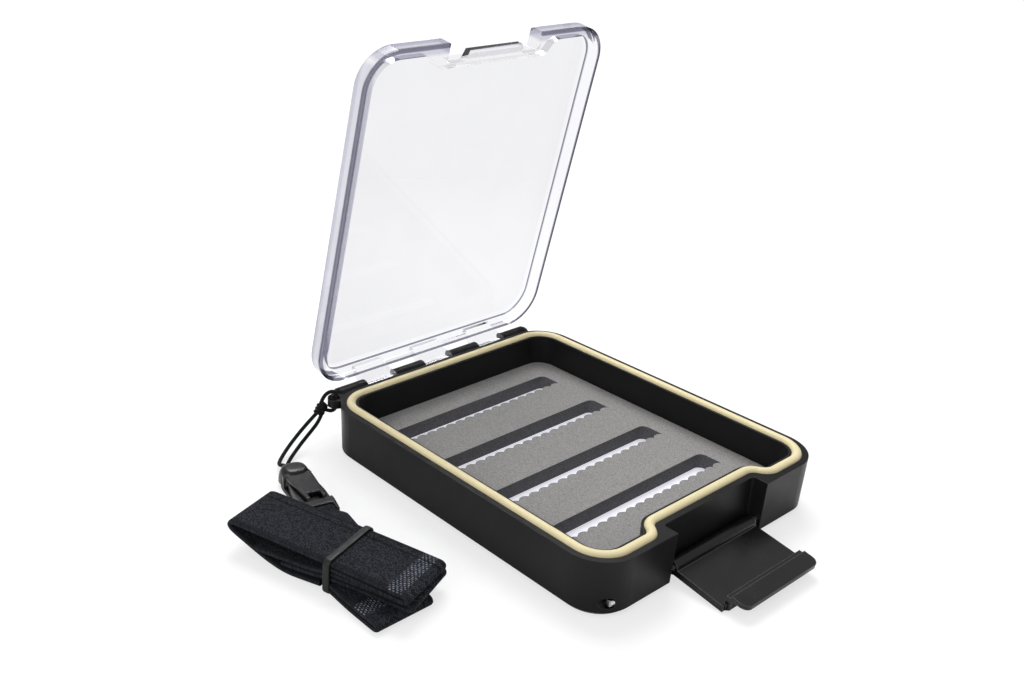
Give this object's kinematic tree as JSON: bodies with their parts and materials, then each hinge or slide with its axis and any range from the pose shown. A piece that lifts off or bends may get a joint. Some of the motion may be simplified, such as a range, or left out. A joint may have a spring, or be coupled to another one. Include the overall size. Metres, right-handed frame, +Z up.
{
  "type": "fly box",
  "caption": "Slim fishing fly box: black tray with gasket and slotted foam, clear hinged lid, swing latch, and a buckled webbing lanyard on a cord.",
  "frame": {"origin": "centre of the tray's flat underside, without the lanyard", "axes": "+X to the right seen from the latch side, +Y from the latch toward the hinge, +Z up out of the open tray"},
  "size_m": [0.1619, 0.1527, 0.1375],
  "materials": {
    "black_plastic": "satin",
    "cream_rubber": "satin",
    "grey_foam": "matte, fine cells",
    "white_sheet": "smooth",
    "clear_plastic": "clear, polished",
    "steel": "bright",
    "black_cord": "braided",
    "buckle_plastic": "semi-gloss",
    "black_webbing": "woven",
    "tie_rubber": "matte"
  },
  "bodies": {
    "tray": {"case_tray": "black_plastic", "gasket": "cream_rubber", "foam_insert": "grey_foam", "base_sheet": "white_sheet", "hinge_pin": "steel", "latch_pin": "steel", "cord_eye_loop": "black_cord", "cord_knot": "black_cord", "cord_buckle_loop": "black_cord", "buckle_socket": "buckle_plastic"},
    "lid": {"lid": "clear_plastic"},
    "latch": {"latch": "black_plastic"},
    "strap": {"buckle_plug": "buckle_plastic", "lanyard_strap": "black_webbing", "lanyard_strap_fold": "black_webbing", "lanyard_strap_tail": "black_webbing", "lanyard_strap_loop": "black_webbing", "strap_tie": "tie_rubber"}
  },
  "joints": [
    {"name": "lid_hinge", "type": "hinge", "parent": "tray", "child": "lid", "pos_m": [0, 0.0629, 0.0156], "axis": [-1, 0, 0], "range_deg": [-78, 102]},
    {"name": "latch_hinge", "type": "hinge", "parent": "tray", "child": "latch", "pos_m": [0, -0.0575, 0.0046], "axis": [-1, 0, 0], "range_deg": [0, 99]},
    {"name": "buckle_release", "type": "slide", "parent": "tray", "child": "strap", "axis": [-0.2045, -0.9789, 0], "range_m": [0, 0.014]}
  ]
}
